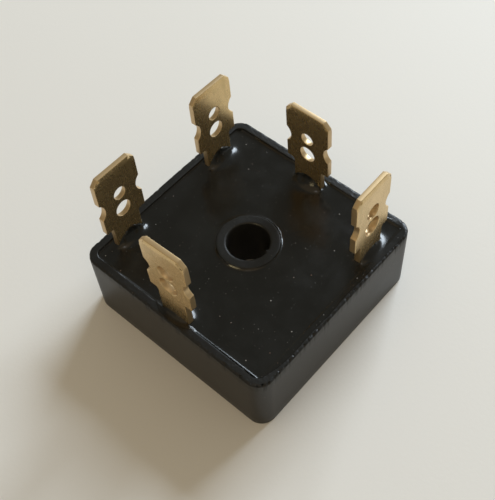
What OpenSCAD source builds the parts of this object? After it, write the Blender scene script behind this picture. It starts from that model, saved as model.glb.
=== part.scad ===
// Three-phase bridge rectifier in a square potted case, with five push-on blades.
// Origin: middle of the case on its seating face. +Z points to the blade tips.
// The blades at the two -X corners and the +Y side are seen from +X and -Y.

/* [Case] */
// Side of the square case
case_w = 28.5; // [27.5:0.1:31]
// Height of the case
case_h = 10; // [9.5:0.1:12]
// Radius of the upright corners
corner_r = 2; // [1.6:0.1:2.6]
// Width of the case wall at the rim
rim_w = 1.1; // [0.9:0.05:1.3]
// Rounding of the rim's outer edge
rim_round = 0.25; // [0.1:0.05:0.4]
// Bevel on the rim's inner edge and on the boss
edge_break = 0.12; // [0.06:0.02:0.2]
// Depth of the epoxy surface below the rim
fill_drop = 0.3; // [0.1:0.05:0.6]

/* [Mounting hole] */
// Bore for the mounting screw
hole_d = 5.3; // [4.3:0.1:5.5]
// Outside of the boss round the bore
boss_d = 7.85; // [7.3:0.05:8.4]
// Countersunk lead-in at the mouth of the bore
hole_lead = 0.15; // [0.05:0.05:0.3]
// Thickness of the four webs that carry the boss
web_t = 1.4; // [1:0.1:1.8]
// Height of the webs
web_h = 3; // [2:0.1:3.4]
// Depth of the webs below the epoxy surface
web_drop = 1.2; // [0.8:0.1:1.4]

/* [Base plate] */
// Thickness of the heat-sink plate
plate_t = 2; // [1.6:0.1:2.2]
// Thickness of the case ledge that the plate's flange sits on
ledge_t = 0.8; // [0.6:0.1:1]
// Width of the ledge inside the case wall
ledge_w = 0.5; // [0.4:0.05:0.8]
// Gap all round the plate
plate_gap = 0.08; // [0.04:0.01:0.15]

/* [Insulator and copper] */
// Thickness of the ceramic sheet
ceramic_t = 0.63; // [0.5:0.01:0.8]
// Distance from the cavity wall to the ceramic
ceramic_margin = 0.4; // [0.3:0.05:0.6]
// Thickness of each solder layer
solder_t = 0.1; // [0.08:0.01:0.15]
// Thickness of the copper buses
bus_t = 0.5; // [0.4:0.05:0.6]
// Distance from the cavity wall to the outer bus
bus_margin = 0.95; // [0.8:0.05:1.1]
// Gap between the two buses, and round the boss
bus_gap = 0.6; // [0.5:0.05:0.8]

/* [Diodes] */
// Side of a silicon die
die_w = 2.8; // [2.4:0.1:3]
// Thickness of a die
die_t = 0.3; // [0.25:0.01:0.4]
// Width of the passivation groove round a die's upper face
moat_w = 0.2; // [0.1:0.05:0.3]
// Depth of the passivation groove
moat_t = 0.08; // [0.04:0.01:0.12]

/* [Blades] */
// Width of a blade
blade_w = 6.35; // [5.8:0.05:6.4]
// Thickness of the blade strip
blade_t = 0.8; // [0.7:0.05:0.9]
// Height of the blade tips above the rim
blade_rise = 11.95; // [10.5:0.05:13]
// Corner cut at the tip
tip_chamfer = 0.75; // [0.4:0.05:1.2]
// Length of the coined bevel at the tip
tip_bevel = 0.7; // [0.4:0.05:1]
// Thickness left at the tip edge
tip_t = 0.45; // [0.3:0.05:0.6]
// Distance from the tip to the locking notches
notch_z = 5.15; // [4.6:0.05:5.6]
// Radius of the locking notches
notch_r = 1.56; // [1.3:0.02:1.8]
// Depth of the locking notches
notch_depth = 0.68; // [0.4:0.02:0.9]
// Distance from the tip to the upper hole
detent_z = 4.29; // [3.9:0.01:4.5]
// Upper hole
detent_d = 1.75; // [1.4:0.05:1.9]
// Distance from the tip to the lower hole
wire_hole_z = 6.95; // [6.8:0.01:7.2]
// Lower hole
wire_hole_d = 2.2; // [1.8:0.05:2.4]
// Distance from the tip to the shoulders
shoulder_z = 9; // [8.6:0.05:9.4]
// Width of the stem under the shoulders
stem_w = 4.15; // [3.8:0.05:4.4]
// Fillet between shoulder and stem
stem_fillet = 0.35; // [0.2:0.05:0.5]
// Inside radius of the bend at the foot
bend_r = 0.5; // [0.4:0.05:0.7]
// Distance from the side of the case to the middle of the blade next to its corner
corner_inset = 6.25; // [5.9:0.05:6.6]
// Distance from the outside of the case to the middle of a blade
blade_inset = 2.25; // [2.1:0.05:2.4]

/* [Epoxy climbing the blades] */
// Height that the epoxy climbs at the middle of a blade
climb_mid = 1.5; // [1:0.1:2]
// Height that it climbs at the edges of a stem
climb_edge = 0.85; // [0.6:0.05:1]
// Reach of the climb out from the blade
climb_reach = 2.2; // [1.4:0.1:2.4]

/* [Hand soldering] */
// Step in which the shifts and heights of the hand-set blades are given
set_step = 0.05; // [0.01:0.01:0.07]

/* [Hidden] */
$fn = 64;

case_colour = [0.07, 0.07, 0.07];
epoxy_colour = [0.04, 0.04, 0.04];
nickel_colour = [0.72, 0.71, 0.68];
ceramic_colour = [0.93, 0.92, 0.88];
copper_colour = [0.78, 0.48, 0.32];
brass_colour = [0.75, 0.6, 0.34];
silicon_colour = [0.33, 0.34, 0.38];
solder_colour = [0.66, 0.67, 0.68];

// overlap of cutting shapes past the faces they cut
cut = 1;
// overlap of shapes that join inside one piece
weld = 0.3;

// the cavity and its levels, from the seating face up
cavity_half = case_w/2 - rim_w;
cavity_r = max(corner_r - rim_w, 0.4);
fill_z = case_h - fill_drop;
ceramic_z = plate_t + solder_t;
bus_z = ceramic_z + ceramic_t;
pad_z = bus_z + bus_t;
die_z = pad_z + solder_t;
clip_z = die_z + die_t + solder_t;
web_z = fill_z - web_drop - web_h;
// level in the epoxy where a hand-set blade starts to lean
set_z = fill_z - web_drop;

// distance between the two blades of a side
blade_pitch = case_w - 2*corner_inset;

// two rails of one width share the space between the boss and the wall, measured from
// the middle, and the dice stand on the middle of their rails
outer_bus_edge = cavity_half - bus_margin;
boss_clear_d = boss_d + 2*bus_gap;
rail_w = (outer_bus_edge - bus_gap - boss_clear_d/2)/2;
outer_bus_mid = outer_bus_edge - rail_w/2;
inner_bus_edge = boss_clear_d/2 + rail_w;
inner_die_mid = inner_bus_edge - rail_w/2;
// ends of the feet: next to the boss, and on the outer bus
foot_stop = inner_die_mid - die_w/2 + moat_w;
outer_foot_stop = outer_bus_edge - rail_w + moat_w;

// how each blade stands: turn that brings it to its side of the case, nominal place along
// that side, then what hand soldering left: steps of shift [along, out], twist, lean
// towards the middle, cant, and steps of extra height
POSITIVE = 0;
NEGATIVE = 1;
AC_A = 2;
AC_B = 3;
AC_C = 4;
BLADES = [
    [90, -blade_pitch/2, [-7, 4], 1, -2.1, 1.6, -2],
    [180, 0, [-6, 11], 1.3, -0.8, 0.6, 22],
    [90, blade_pitch/2, [-6, -1], 0, -2.7, 1.3, 0],
    [0, 0, [-4, 1], -0.9, 0.4, -1, 0],
    [-90, -blade_pitch/2, [0, -3], 1.1, 1.1, -0.3, 2]
];

// Square with rounded corners, centred
module rounded_square(side, r) {
    core = side - 2*r;
    square([side, core], center = true);
    square([core, side], center = true);
    for (x = [-1, 1], y = [-1, 1])
        translate([x*core/2, y*core/2])
            circle(r);
}

// Plate with rounded corners that stands on level z
module rounded_plate(side, r, z, t)
    translate([0, 0, z])
        linear_extrude(t)
            rounded_square(side, r);

// ---- Case ----

// Outside of the case, its upper edge rounded in two steps
module case_blank() {
    step = rim_round*(1 - cos(45));
    hull() {
        rounded_plate(case_w, corner_r, 0, case_h - rim_round);
        rounded_plate(case_w - 2*step, corner_r - step, 0, case_h - step);
        rounded_plate(case_w - 2*rim_round, corner_r - rim_round, 0, case_h);
    }
}

// Cavity for the live parts, open at the top, its mouth bevelled
module cavity() {
    rounded_plate(2*cavity_half, cavity_r, ledge_t, case_h);
    hull() {
        rounded_plate(2*cavity_half, cavity_r, fill_z - edge_break, fill_drop);
        rounded_plate(2*(cavity_half + edge_break), cavity_r + edge_break, case_h, cut);
    }
}

// Boss that keeps the screw clear of the epoxy and the live parts, its upper edge bevelled
module boss() {
    translate([0, 0, plate_t])
        cylinder(d = boss_d, h = case_h - edge_break - plate_t);
    translate([0, 0, case_h - edge_break])
        cylinder(d1 = boss_d, d2 = boss_d - 2*edge_break, h = edge_break);
}

// Four webs from the corners to the boss, under the epoxy
module webs()
    for (a = [45:90:315])
        rotate([0, 0, a])
            translate([boss_d/2 - weld, -web_t/2, web_z])
                cube([cavity_half*sqrt(2) - cavity_r*(sqrt(2) - 1) - boss_d/2 + 2*weld, web_t, web_h]);

module screw_bore() {
    translate([0, 0, -cut])
        cylinder(d = hole_d, h = case_h + 2*cut);
    translate([0, 0, case_h - hole_lead])
        cylinder(d1 = hole_d, d2 = hole_d + 4*hole_lead, h = 2*hole_lead);
}

module case_frame() color(case_colour)
    difference() {
        union() {
            difference() {
                case_blank();
                cavity();
                rounded_plate(2*(cavity_half - ledge_w), cavity_r, -cut, case_h);
            }
            boss();
            webs();
        }
        screw_bore();
    }

// ---- Heat path ----

// Stepped plate: its flange sits on the ledge and its face is flush with the case
module base_plate() color(nickel_colour)
    difference() {
        union() {
            rounded_plate(2*(cavity_half - plate_gap), cavity_r, ledge_t, plate_t - ledge_t);
            rounded_plate(2*(cavity_half - ledge_w - plate_gap), cavity_r, 0, plate_t);
        }
        translate([0, 0, -cut])
            cylinder(d = hole_d, h = plate_t + 2*cut);
    }

// Square sheet with a round hole for the boss
module boss_sheet(side, z, t)
    difference() {
        rounded_plate(side, cavity_r, z, t);
        translate([0, 0, z - cut])
            cylinder(d = boss_d + bus_gap, h = t + 2*cut);
    }

module ceramic_insulator() color(ceramic_colour)
    boss_sheet(2*(cavity_half - ceramic_margin), ceramic_z, ceramic_t);

module base_solder() color(solder_colour)
    boss_sheet(2*(cavity_half - ceramic_margin), plate_t, solder_t);

// ---- Buses ----

// Outer bus: three sides of a square, open towards -Y, with a short leg at +X
module positive_bus() color(copper_colour)
    translate([0, 0, bus_z])
        linear_extrude(bus_t)
            difference() {
                square(2*outer_bus_edge, center = true);
                square(2*(outer_bus_edge - rail_w), center = true);
                translate([-outer_bus_edge + rail_w, -outer_bus_edge - cut])
                    square([2*outer_bus_edge, outer_bus_edge + cut + blade_pitch/2 - rail_w]);
            }

// Inner bus: a square frame round the boss
module negative_bus() color(copper_colour)
    translate([0, 0, bus_z])
        linear_extrude(bus_t)
            difference() {
                square(2*inner_bus_edge, center = true);
                circle(d = boss_clear_d);
            }

// ---- Diodes ----

// Places of the dice: one on each bus under the foot of every AC blade
function outer_die_at(i) =
    i == AC_A ? [-outer_bus_mid, blade_pitch/2] :
    i == AC_B ? [0, outer_bus_mid] : [outer_bus_mid, blade_pitch/2];
function inner_die_at(i) =
    i == AC_A ? [-inner_die_mid, inner_die_mid] :
    i == AC_B ? [0, inner_die_mid] : [inner_die_mid, inner_die_mid];
DICE = [for (i = [AC_A, AC_B, AC_C]) each [outer_die_at(i), inner_die_at(i)]];

// Square block centred at a point of the plan
module pad(at, side, z, t)
    translate([at[0] - side/2, at[1] - side/2, z])
        cube([side, side, t]);

// Silicon die with a passivation groove round its upper face
module diode_die(at) color(silicon_colour)
    difference() {
        pad(at, die_w, die_z, die_t);
        difference() {
            pad(at, die_w - 2*moat_w, die_z + die_t - moat_t, moat_t + cut);
            pad(at, die_w - 4*moat_w, die_z, die_t + 2*cut);
        }
    }

module diode_a_positive() diode_die(outer_die_at(AC_A));
module diode_b_positive() diode_die(outer_die_at(AC_B));
module diode_c_positive() diode_die(outer_die_at(AC_C));
module diode_a_negative() diode_die(inner_die_at(AC_A));
module diode_b_negative() diode_die(inner_die_at(AC_B));
module diode_c_negative() diode_die(inner_die_at(AC_C));

module die_solder_lower() color(solder_colour)
    for (at = DICE)
        pad(at, die_w, pad_z, solder_t);

module die_solder_upper() color(solder_colour)
    for (at = DICE)
        pad(at, die_w - 4*moat_w, die_z + die_t, solder_t);

// ---- Blades ----

// Distance of blade i's middle plane from the middle of the case
function blade_out(i) = case_w/2 - blade_inset + set_step*BLADES[i][2][1];
function is_ac(i) = i >= AC_A;

// Brings a shape drawn at the middle, with +Y pointing outwards, to blade i
module at_blade(i)
    rotate([0, 0, BLADES[i][0]])
        translate([BLADES[i][1] + set_step*BLADES[i][2][0], blade_out(i), 0])
            children();

// Flat outline of a blade from its lean level up to the tip
module blade_outline(rise)
    difference() {
        union() {
            translate([-blade_w/2, rise - shoulder_z])
                square([blade_w, shoulder_z]);
            translate([-stem_w/2, -weld])
                square([stem_w, rise - shoulder_z + 2*weld]);
            translate([-stem_w/2 - stem_fillet, rise - shoulder_z - stem_fillet])
                square([stem_w + 2*stem_fillet, stem_fillet + weld]);
        }
        for (side = [-1, 1]) {
            translate([side*(stem_w/2 + stem_fillet), rise - shoulder_z - stem_fillet])
                circle(stem_fillet);
            translate([side*(blade_w/2 + notch_r - notch_depth), rise - notch_z])
                circle(notch_r);
            translate([side*blade_w/2, rise])
                rotate([0, 0, 45])
                    square(tip_chamfer*sqrt(2), center = true);
        }
        translate([0, rise - detent_z])
            circle(d = detent_d);
        translate([0, rise - wire_hole_z])
            circle(d = wire_hole_d);
    }

// Wedges that coin both faces down to the tip's thickness along an edge on the X axis
module bevel_cut()
    for (face = [0, 1])
        mirror([0, face, 0])
            rotate([90, 0, 90])
                linear_extrude(2*blade_w, center = true)
                    polygon([[blade_t/2, -tip_bevel], [tip_t/2, 0], [tip_t/2, cut],
                             [blade_t/2 + cut, cut], [blade_t/2 + cut, -tip_bevel]]);

module blade(rise)
    difference() {
        translate([0, blade_t/2, 0])
            rotate([90, 0, 0])
                linear_extrude(blade_t)
                    blade_outline(rise);
        translate([0, 0, rise])
            bevel_cut();
        for (side = [-1, 1])
            translate([side*(blade_w - tip_chamfer)/2, 0, rise - tip_chamfer/2])
                rotate([0, side*45, 0])
                    bevel_cut();
    }

// Stem below the lean level, its bend and its foot, seen from the side
module foot_profile(height, reach) {
    bend_out = bend_r + blade_t;
    translate([-blade_t/2, bend_out])
        square([blade_t, height - bend_out]);
    translate([-reach, 0])
        square([reach - blade_t/2 - bend_r, blade_t]);
    intersection() {
        translate([-blade_t/2 - bend_r, bend_out])
            difference() {
                circle(bend_out);
                circle(bend_r);
            }
        translate([-blade_t/2 - bend_r, 0])
            square(bend_out);
    }
}

// Level of the underside of blade i's foot, and how far the foot reaches inwards
function foot_z(i) = is_ac(i) ? clip_z : die_z;
function foot_reach(i) = blade_out(i) - (i == POSITIVE ? outer_foot_stop : foot_stop);

// Widening that carries the foot of a corner blade over its inner die
module corner_clip(i)
    if (i == AC_A || i == AC_C)
        mirror([i == AC_C ? 1 : 0, 0, 0])
            translate([-inner_die_mid - die_w/2, foot_stop, clip_z])
                cube([die_w - moat_w, blade_pitch/2 - foot_stop, blade_t]);

module terminal(i) color(brass_colour) {
    at_blade(i) {
        translate([0, 0, set_z])
            rotate([0, 0, BLADES[i][3]])
                rotate([BLADES[i][4], 0, 0])
                    rotate([0, BLADES[i][5], 0])
                        blade(blade_rise + case_h - set_z + set_step*BLADES[i][6]);
        translate([-stem_w/2, 0, foot_z(i)])
            rotate([90, 0, 90])
                linear_extrude(stem_w)
                    foot_profile(set_z - foot_z(i), foot_reach(i));
    }
    corner_clip(i);
}

module terminal_positive() terminal(POSITIVE);
module terminal_negative() terminal(NEGATIVE);
module terminal_ac_a() terminal(AC_A);
module terminal_ac_b() terminal(AC_B);
module terminal_ac_c() terminal(AC_C);

// Solder under the feet of the two DC blades, where they cross their buses
module foot_solder() color(solder_colour)
    for (i = [POSITIVE, NEGATIVE]) {
        inner = i == POSITIVE ? outer_foot_stop : foot_stop;
        outer = i == POSITIVE ? blade_out(i) - blade_t/2 - bend_r : inner_bus_edge;
        at_blade(i)
            translate([-stem_w/2, inner - blade_out(i), pad_z])
                cube([stem_w, outer - inner, solder_t]);
    }

// ---- Epoxy ----

CLIMB_SIDES = 24;
CLIMB_RINGS = 5;
// how far the first ring lies inside the stem, and the last one below the surface
climb_overlap = 0.15;
climb_sink = 0.12;
climb_root = 0.6;

// Distance of ring k from the stem; the rings lie closer near the stem
function climb_out(k) = -climb_overlap + (climb_reach + climb_overlap)*pow(k/CLIMB_RINGS, 1.5);
// Height of the climb beside the stem at place u along its width
function climb_height(u) = climb_mid - (climb_mid - climb_edge)*min(1, pow(2*u/stem_w, 2));
function climb_level(k, u) =
    k == CLIMB_RINGS ? fill_z - climb_sink :
    fill_z + climb_height(u)*pow(1 - max(0, climb_out(k))/climb_reach, 2);
function climb_point(k, j) =
    let(a = 360*j/CLIMB_SIDES, u = (stem_w/2 + climb_out(k))*cos(a))
    [u, (blade_t/2 + climb_out(k))*sin(a), climb_level(k, u)];

// Skirt of epoxy drawn up a blade by surface tension
module climb() {
    n = CLIMB_SIDES;
    last = CLIMB_RINGS*n;
    rings = [for (k = [0:CLIMB_RINGS], j = [0:n - 1]) climb_point(k, j)];
    root = [for (j = [0:n - 1]) let(p = climb_point(CLIMB_RINGS, j)) [p[0], p[1], fill_z - climb_root]];
    skirt = [for (k = [0:CLIMB_RINGS - 1], j = [0:n - 1], half = [0, 1])
        let(a = k*n + j, b = k*n + (j + 1)%n)
        half == 0 ? [a, b, a + n] : [b, b + n, a + n]];
    wall = [for (j = [0:n - 1]) [last + j, last + (j + 1)%n, last + n + (j + 1)%n, last + n + j]];
    crown = [for (j = [0:n/2 - 1])
        j == 0 ? [0, n - 1, 1] :
        j == n/2 - 1 ? [j, n - j, n/2] : [j, n - j, n - j - 1, j + 1]];
    floor_face = [for (j = [n - 1:-1:0]) last + n + j];
    polyhedron(concat(rings, root), concat(skirt, wall, crown, [floor_face]));
}

module potting_epoxy() color(epoxy_colour)
    difference() {
        union() {
            rounded_plate(2*cavity_half, cavity_r, plate_t, fill_z - plate_t);
            difference() {
                intersection() {
                    union()
                        for (i = [POSITIVE:AC_C])
                            at_blade(i)
                                rotate([0, 0, BLADES[i][3]])
                                    climb();
                    rounded_plate(case_w - 2*rim_round, corner_r - rim_round, 0, 2*case_h);
                }
                difference() {
                    rounded_plate(case_w + 2*cut, corner_r, 0, case_h);
                    rounded_plate(2*cavity_half, cavity_r, -cut, case_h + 2*cut);
                }
            }
        }
        boss();
        webs();
        base_solder();
        ceramic_insulator();
        positive_bus();
        negative_bus();
        for (at = DICE)
            pad(at, die_w, die_z, die_t);
        die_solder_lower();
        die_solder_upper();
        foot_solder();
        for (i = [POSITIVE:AC_C])
            terminal(i);
    }

case_frame();
base_plate();
base_solder();
ceramic_insulator();
positive_bus();
negative_bus();
diode_a_positive();
diode_b_positive();
diode_c_positive();
diode_a_negative();
diode_b_negative();
diode_c_negative();
die_solder_lower();
die_solder_upper();
foot_solder();
terminal_positive();
terminal_negative();
terminal_ac_a();
terminal_ac_b();
terminal_ac_c();
potting_epoxy();
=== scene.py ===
"""Three-phase bridge rectifier in a potted square case, with five push-on blades.

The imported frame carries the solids. The classes below build the finer pieces that stand
for the visible ones, and dress every other node. Lengths are in metres, and in millimetres
where a class says so. The axes are the frame's own: the origin is the middle of the case on
its seating face, and +Z points to the blade tips. A blade is drawn at the middle with +Y
pointing out of the case, and is then turned to its side.
"""

import sys
import logging
import math
from dataclasses import dataclass
from enum import Enum
from typing import Sequence

import bmesh
import bpy
import numpy as np
from mathutils import Matrix, Quaternion, Vector
from mathutils.geometry import delaunay_2d_cdt


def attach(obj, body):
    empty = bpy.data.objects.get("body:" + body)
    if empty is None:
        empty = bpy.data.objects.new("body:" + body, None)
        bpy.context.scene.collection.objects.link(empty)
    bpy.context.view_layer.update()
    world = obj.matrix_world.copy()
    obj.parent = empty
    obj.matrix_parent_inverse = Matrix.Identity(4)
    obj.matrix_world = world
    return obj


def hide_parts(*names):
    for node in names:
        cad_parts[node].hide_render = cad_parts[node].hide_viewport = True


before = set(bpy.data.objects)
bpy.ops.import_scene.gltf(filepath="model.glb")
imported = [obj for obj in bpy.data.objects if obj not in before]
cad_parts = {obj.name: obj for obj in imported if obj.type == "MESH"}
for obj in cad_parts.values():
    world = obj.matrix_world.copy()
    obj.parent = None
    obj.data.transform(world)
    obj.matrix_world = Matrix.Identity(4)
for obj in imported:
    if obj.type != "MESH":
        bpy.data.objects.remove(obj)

LOG = logging.getLogger("rectifier")
MM = 0.001

Colour = tuple[float, float, float]
Point2 = tuple[float, float]
Point3 = tuple[float, float, float]


# ---------------------------------------------------------------- shader expressions


class Socket:
    """An output socket of a shader graph, with Python's operators as Math nodes."""

    def __init__(self, graph: "Graph", end: bpy.types.NodeSocket) -> None:
        """Wraps one output socket of the graph."""
        self.graph = graph
        self.end = end

    def __add__(self, other: "Value") -> "Socket":
        """Sum."""
        return self.graph.maths("ADD", self, other)

    __radd__ = __add__

    def __sub__(self, other: "Value") -> "Socket":
        """Difference."""
        return self.graph.maths("SUBTRACT", self, other)

    def __rsub__(self, other: "Value") -> "Socket":
        """Difference, with the number on the left."""
        return self.graph.maths("SUBTRACT", other, self)

    def __mul__(self, other: "Value") -> "Socket":
        """Product."""
        return self.graph.maths("MULTIPLY", self, other)

    __rmul__ = __mul__

    def __truediv__(self, other: "Value") -> "Socket":
        """Quotient."""
        return self.graph.maths("DIVIDE", self, other)

    def __rtruediv__(self, other: "Value") -> "Socket":
        """Quotient, with the number on the left."""
        return self.graph.maths("DIVIDE", other, self)

    def __abs__(self) -> "Socket":
        """Size without its sign."""
        return self.graph.maths("ABSOLUTE", self)

    def least(self, other: "Value") -> "Socket":
        """The smaller of the two."""
        return self.graph.maths("MINIMUM", self, other)

    def ramp(self, low: float, high: float) -> "Socket":
        """Smooth step.

        Args:
            low: Value that becomes 0.
            high: Value that becomes 1. It may lie below low.

        Returns:
            The eased value between 0 and 1.
        """
        return self.graph.node(
            "ShaderNodeMapRange",
            {"interpolation_type": "SMOOTHSTEP", "clamp": True},
            {"Value": self, "From Min": low, "From Max": high},
        )


Value = Socket | float


class Graph:
    """The node tree of one material."""

    def __init__(self, name: str) -> None:
        """Starts an empty material of that name.

        Args:
            name: Name of the material.
        """
        self.material = bpy.data.materials.new(name)
        self.material.use_nodes = True
        self.tree = self.material.node_tree
        self.tree.nodes.clear()

    def node(
        self,
        kind: str,
        settings: dict[str, object] | None = None,
        values: dict[str | int, object] | None = None,
        out: str | int = 0,
    ) -> Socket:
        """Adds a node of any type.

        Args:
            kind: The node's type name.
            settings: Attributes, set before the sockets.
            values: Constants or sockets for the inputs, by name or by number.
            out: The output that is wanted, by name or by number.

        Returns:
            The chosen output.
        """
        made = self.tree.nodes.new(kind)
        for key, value in (settings or {}).items():
            setattr(made, key, value)
        for key, value in (values or {}).items():
            if isinstance(value, Socket):
                self.tree.links.new(value.end, made.inputs[key])
            else:
                made.inputs[key].default_value = value
        return Socket(self, made.outputs[out]) if len(made.outputs) else Socket(self, None)

    def maths(self, operation: str, *terms: Value) -> Socket:
        """Adds a Math node for the operation on its terms."""
        return self.node("ShaderNodeMath", {"operation": operation}, dict(enumerate(terms)))

    def mix(self, share: Value, first: object, second: object) -> Socket:
        """Mixes two colours.

        Args:
            share: How much of the second colour.
            first: Colour or socket at share 0.
            second: Colour or socket at share 1.

        Returns:
            The mixed colour.
        """
        ends = {
            6: first if isinstance(first, Socket) else (*first, 1.0),
            7: second if isinstance(second, Socket) else (*second, 1.0),
        }
        return self.node("ShaderNodeMix", {"data_type": "RGBA"}, {0: share, **ends}, 2)

    def place(self, stretch: Point3 = (1.0, 1.0, 1.0)) -> Socket:
        """Place on the piece in millimetres.

        Args:
            stretch: Factors along the piece's own axes.

        Returns:
            A vector socket.
        """
        where = self.node("ShaderNodeTexCoord", out="Object")
        factors = tuple(f / MM for f in stretch)
        return self.node("ShaderNodeVectorMath", {"operation": "MULTIPLY"}, {0: where, 1: factors})

    def axis(self, where: Socket, axis: str) -> Socket:
        """One coordinate, X, Y or Z, of a vector."""
        return self.node("ShaderNodeSeparateXYZ", None, {0: where}, axis)

    def grain(
        self, where: Socket, size: float, detail: float = 3.0, rough: float = 0.55,
        bend: float = 0.0,
    ) -> Socket:
        """Noise between 0 and 1.

        Args:
            where: Place in millimetres.
            size: Width of the coarsest lumps in millimetres.
            detail: Number of finer layers.
            rough: Weight of the finer layers.
            bend: How far the noise is bent by itself.

        Returns:
            The noise value.
        """
        return self.node(
            "ShaderNodeTexNoise",
            None,
            {"Vector": where, "Scale": 1.0 / size, "Detail": detail, "Roughness": rough,
             "Distortion": bend},
        )

    def specks(
        self, where: Socket, pitch: float, radius: float, share: float, flat: bool = False
    ) -> Socket:
        """Small scattered spots.

        Args:
            where: Place in millimetres.
            pitch: Mean distance between the places that can hold a spot.
            radius: Largest radius of a spot.
            share: Part of the places that hold one.
            flat: Whether the spots lie in plan and leave the height out.

        Returns:
            1 inside a spot and 0 outside.
        """
        cell = {"Vector": where, "Scale": 1.0 / pitch, "Randomness": 1.0}
        kind = {"feature": "F1", "voronoi_dimensions": "2D" if flat else "3D"}
        far = self.node("ShaderNodeTexVoronoi", kind, cell, "Distance")
        lot = self.node("ShaderNodeTexVoronoi", kind, cell, "Color")
        pick = self.node("ShaderNodeSeparateColor", None, {0: lot}, 0)
        size = self.node("ShaderNodeSeparateColor", None, {0: lot}, 1)
        reach = radius / pitch * (0.35 + 0.65 * size)
        inside = (reach - far).ramp(0.0, 0.25 * radius / pitch)
        return inside * pick.ramp(1.0 - share, 1.0 - share + 0.001)

    def bump(self, height: Socket, depth: float) -> Socket:
        """Turns a height into a shading normal.

        Args:
            height: Height, where 1 stands for the whole depth.
            depth: Depth in metres.

        Returns:
            The normal.
        """
        return self.node(
            "ShaderNodeBump", None, {"Height": height, "Distance": depth, "Strength": 1.0}
        )

    def finish(self, **inputs: object) -> bpy.types.Material:
        """Closes the graph with one Principled shader.

        Args:
            **inputs: Its inputs, with _ for a space in their names.

        Returns:
            The finished material.
        """
        values: dict[str | int, object] = {}
        for key, value in inputs.items():
            plain_colour = isinstance(value, tuple) and len(value) == 3
            values[key.replace("_", " ")] = (*value, 1.0) if plain_colour else value
        shader = self.node("ShaderNodeBsdfPrincipled", None, values)
        self.node("ShaderNodeOutputMaterial", None, {"Surface": shader})
        return self.material


# ---------------------------------------------------------------- finishes


@dataclass(frozen=True)
class CasePlastic:
    """Black thermoset of the case: satin walls, and a rim left finely rough."""

    body: Colour = (0.014, 0.0138, 0.013)
    worn: Colour = (0.05, 0.049, 0.046)
    film: Colour = (0.005, 0.0052, 0.0046)
    rim_z: float = 9.76
    slot: str = "case_plastic"

    def build(self) -> bpy.types.Material:
        """Makes the material.

        Returns:
            The material.
        """
        g = Graph(self.slot)
        at = g.place()
        ragged = g.grain(at, 0.7, 3.0, 0.6) - 0.5
        rim = (g.axis(at, "Z") + ragged * 0.5).ramp(self.rim_z, self.rim_z + 0.16)
        wall = 1.0 - rim
        flow = g.grain(at, 5.0, 3.0, 0.5, 0.6)
        grit = g.grain(at, 0.16, 4.0, 0.65)
        lumps = g.grain(at, 0.5, 3.0, 0.6)
        scuff = g.grain(g.place((1.0, 1.0, 0.2)), 0.3, 3.0, 0.6).ramp(0.64, 0.8) * wall
        # Pale specks over the grit: partly real crumbs, and partly painted glints that stand in for
        # highlights on the moulding flash.
        crumbs_and_glints = g.specks(at, 0.4, 0.075, 0.35) * (grit - 0.35).ramp(0.0, 0.2)
        # Pale specks at the rim's outer edge: painted glints of the flash and chips there, with some real
        # crumbs.
        edge = g.specks(at, 0.5, 0.12, 0.3) * rim.ramp(0.02, 0.3) * rim.ramp(0.98, 0.7)
        colour = g.mix(flow.ramp(0.35, 0.75) * 0.3 * wall, self.body, self.worn)
        colour = g.mix(rim * 0.8, colour, self.film)
        colour = g.mix((grit - 0.5).ramp(0.04, 0.22) * rim * 0.3 + scuff * 0.1, colour, self.worn)
        # Paints the pale specks in: painted highlights on the flash and chips, and partly real crumbs.
        colour = g.mix(crumbs_and_glints * 0.35 + edge * 0.6, colour, (0.3, 0.285, 0.26))
        brink = rim.ramp(0.02, 0.4) * rim.ramp(0.995, 0.75)
        rough = 0.36 + 0.1 * flow + 0.08 * scuff - rim * (0.1 - 0.12 * grit) + brink * 0.12
        height = grit * (0.25 + 0.75 * rim) + lumps * (0.3 + 0.7 * rim)
        return g.finish(
            Base_Color=colour,
            Roughness=rough,
            Normal=g.bump(height, 0.009 * MM),
            Specular_IOR_Level=0.36,
        )


@dataclass(frozen=True)
class PottingResin:
    """Poured black epoxy: glossy, with dust and small pits that settled as it set."""

    body: Colour = (0.004, 0.0045, 0.0042)
    dust: Colour = (0.3, 0.285, 0.26)
    rust: Colour = (0.2, 0.1, 0.055)
    slot: str = "epoxy"

    def build(self) -> bpy.types.Material:
        """Makes the material.

        Returns:
            The material.
        """
        g = Graph(self.slot)
        at = g.place()
        cloud = g.grain(at, 3.5, 3.0, 0.55, 0.5)
        film = g.grain(at, 0.45, 4.0, 0.6)
        crumbs = g.specks(at, 1.5, 0.095, 0.17, True)
        grains = g.specks(at, 0.62, 0.05, 0.16, True)
        pits = g.specks(at, 0.9, 0.06, 0.12, True)
        dirt = (crumbs + grains * 0.35).least(1.0)
        hazy = cloud.ramp(0.35, 0.7)
        colour = g.mix(hazy * 0.5, self.body, (0.0075, 0.0078, 0.007))
        dust = g.mix(g.grain(at, 4.0, 1.0).ramp(0.5, 0.66), self.dust, self.rust)
        colour = g.mix(dirt * (0.45 + 0.55 * film), colour, dust)
        rough = 0.15 + 0.07 * hazy + 0.05 * film + 0.35 * dirt
        height = film * 0.3 + cloud * 2.0 + dirt * 3.0 - pits * 2.5
        return g.finish(
            Base_Color=colour,
            Roughness=rough,
            Normal=g.bump(height, 0.004 * MM),
            Specular_IOR_Level=0.45,
        )


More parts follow.
